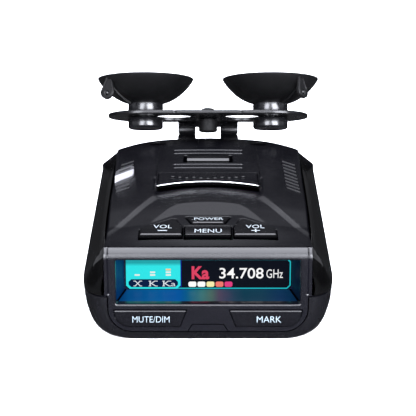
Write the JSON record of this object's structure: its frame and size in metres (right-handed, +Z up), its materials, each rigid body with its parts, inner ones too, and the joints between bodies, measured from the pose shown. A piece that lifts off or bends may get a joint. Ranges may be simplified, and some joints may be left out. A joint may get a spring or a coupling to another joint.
{
  "type": "radar detector",
  "caption": "Windscreen radar detector with a recessed lit display, sprung top and front keys and a folded steel bracket with two suction cups.",
  "frame": {"origin": "middle of the flat underside of the housing", "axes": "+Z up, the display faces -Y, the antenna end faces +Y, +X is the driver's right as they read the display"},
  "size_m": [0.076, 0.1361, 0.0553],
  "materials": {
    "matte_black": "fine moulded texture",
    "gloss_black": "polished",
    "bezel_grey": "satin",
    "button_black": "satin",
    "rubber_black": "smooth moulded",
    "bracket_steel": "black coated spring steel",
    "chrome": "plated",
    "screen_glass": "lit display behind glass",
    "ir_window": "infra-red passing, dark",
    "circuit_green": "solder mask",
    "tin_plate": "plated steel",
    "cast_zinc": "as cast",
    "switch_black": "moulded",
    "copper_flex": "polyimide film",
    "ceramic_tan": "ceramic",
    "clear_lens": "clear tinted",
    "satin_silver": "satin"
  },
  "bodies": {
    "housing": {"lower_cover": "matte_black", "upper_cover": "matte_black", "side_panel_left": "gloss_black", "side_panel_right": "gloss_black", "front_window": "ir_window", "display_bezel": "bezel_grey", "display_shroud": "gloss_black", "release_spring": "tin_plate", "main_board": "circuit_green", "top_key_board": "circuit_green", "front_key_board": "circuit_green", "volume_down_switch": "switch_black", "volume_up_switch": "switch_black", "menu_switch": "switch_black", "power_switch": "switch_black", "mute_dim_switch": "switch_black", "mark_switch": "switch_black", "oled_panel": "screen_glass", "display_ribbon": "copper_flex", "shield_can": "tin_plate", "gps_antenna": "ceramic_tan", "speaker_frame": "switch_black", "speaker_magnet": "tin_plate", "laser_sensor_board": "circuit_green", "laser_lens": "clear_lens", "horn_antenna": "cast_zinc", "power_jack": "switch_black", "earphone_jack": "switch_black", "usb_port": "switch_black", "case_screw_rear_left": "tin_plate", "case_screw_rear_right": "tin_plate", "case_screw_front_left": "tin_plate", "case_screw_front_right": "tin_plate", "top_screw_left": "tin_plate", "top_screw_right": "tin_plate", "badge_plate": "matte_black", "chrome_trim": "chrome", "grille_left": "matte_black", "grille_right": "matte_black", "grille_tab": "satin_silver"},
    "bracket": {"bracket": "bracket_steel", "bumper": "rubber_black"},
    "cup_left": {"suction_cup_left": "rubber_black"},
    "cup_right": {"suction_cup_right": "rubber_black"},
    "volume_up_key": {"volume_up_button": "button_black"},
    "volume_down_key": {"volume_down_button": "button_black"},
    "menu_key": {"menu_button": "button_black"},
    "power_key": {"power_button": "button_black"},
    "mark_key": {"mark_button": "button_black"},
    "mute_dim_key": {"mute_dim_button": "button_black"},
    "release": {"release_button": "button_black"}
  },
  "joints": [
    {"name": "volume_up_press", "type": "slide", "parent": "housing", "child": "volume_up_key", "axis": [0, 0, -1], "range_m": [0, 0.0005], "stiffness_N_per_m": 800},
    {"name": "volume_down_press", "type": "slide", "parent": "housing", "child": "volume_down_key", "axis": [0, 0, -1], "range_m": [0, 0.0005], "stiffness_N_per_m": 800},
    {"name": "menu_press", "type": "slide", "parent": "housing", "child": "menu_key", "axis": [0, 0, -1], "range_m": [0, 0.0005], "stiffness_N_per_m": 800},
    {"name": "power_press", "type": "slide", "parent": "housing", "child": "power_key", "axis": [0, 0, -1], "range_m": [0, 0.0005], "stiffness_N_per_m": 800},
    {"name": "mute_dim_press", "type": "slide", "parent": "housing", "child": "mute_dim_key", "axis": [0, 1, 0], "range_m": [0, 0.0003], "stiffness_N_per_m": 800},
    {"name": "mark_press", "type": "slide", "parent": "housing", "child": "mark_key", "axis": [0, 1, 0], "range_m": [0, 0.0003], "stiffness_N_per_m": 800},
    {"name": "release_press", "type": "slide", "parent": "housing", "child": "release", "axis": [0, 0, -1], "range_m": [0, 0.0012], "stiffness_N_per_m": 500, "deforming": ["release_spring"]},
    {"name": "bracket_slide", "type": "slide", "parent": "housing", "child": "bracket", "axis": [0, 1, 0], "range_m": [0, 0.04]},
    {"name": "cup_left_turn", "type": "hinge", "parent": "bracket", "child": "cup_left", "pos_m": [-0.0215, 0.05894, 0.0377], "axis": [0, 0.3338, 0.9426], "continuous": true},
    {"name": "cup_right_turn", "type": "hinge", "parent": "bracket", "child": "cup_right", "pos_m": [0.0215, 0.05894, 0.0377], "axis": [0, 0.3338, 0.9426], "continuous": true}
  ]
}
